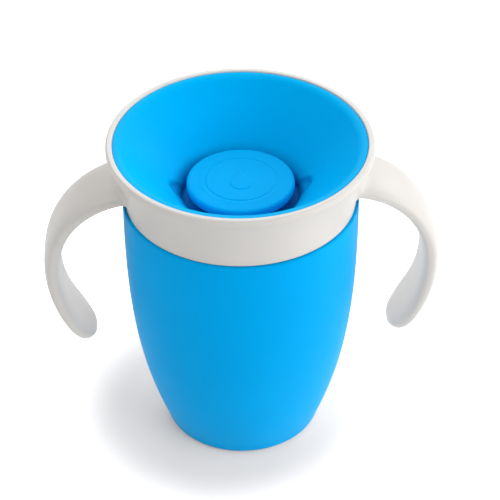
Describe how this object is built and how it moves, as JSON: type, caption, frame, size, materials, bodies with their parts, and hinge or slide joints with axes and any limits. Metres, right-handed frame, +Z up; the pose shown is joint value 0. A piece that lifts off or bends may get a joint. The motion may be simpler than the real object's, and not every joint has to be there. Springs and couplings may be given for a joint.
{
  "type": "toddler training cup",
  "caption": "Spoutless training cup: tapered cup, screw-on collar with drinking rim and curved side handles, funnel bowl with a silicone valve.",
  "frame": {"origin": "centre of the foot, in the plane the cup stands on", "axes": "+Z up along the cup's axis, +X towards one handle, +Y towards the side with no handle"},
  "size_m": [0.1272, 0.084, 0.1083],
  "materials": {
    "cup_blue": "satin",
    "collar_white": "satin",
    "bowl_blue": "satin",
    "valve_blue": "matte silicone",
    "seal_clear": "matte silicone"
  },
  "bodies": {
    "cup": {"cup": "cup_blue"},
    "seal": {"neck_seal": "seal_clear"},
    "collar": {"collar": "collar_white"},
    "bowl": {"bowl": "bowl_blue"},
    "valve": {"valve": "valve_blue"}
  },
  "joints": [
    {"name": "lid_lift", "type": "slide", "parent": "cup", "child": "seal", "axis": [0, 0, 1], "range_m": [0, 0.0142]},
    {"name": "collar_turn", "type": "hinge", "parent": "seal", "child": "collar", "pos_m": [0, 0, 0.0952], "axis": [0, 0, 1], "range_deg": [0, 720]},
    {"name": "bowl_lift", "type": "slide", "parent": "collar", "child": "bowl", "axis": [0, 0, 1], "range_m": [0, 0.03]},
    {"name": "valve_press", "type": "slide", "parent": "bowl", "child": "valve", "axis": [0, 0, -1], "range_m": [0, 0.002], "stiffness_N_per_m": 1500, "springref_m": -0.0005}
  ],
  "couplings": [
    {"joint": "lid_lift", "follows": "collar_turn", "m_per_rad": 0.0011141}
  ]
}
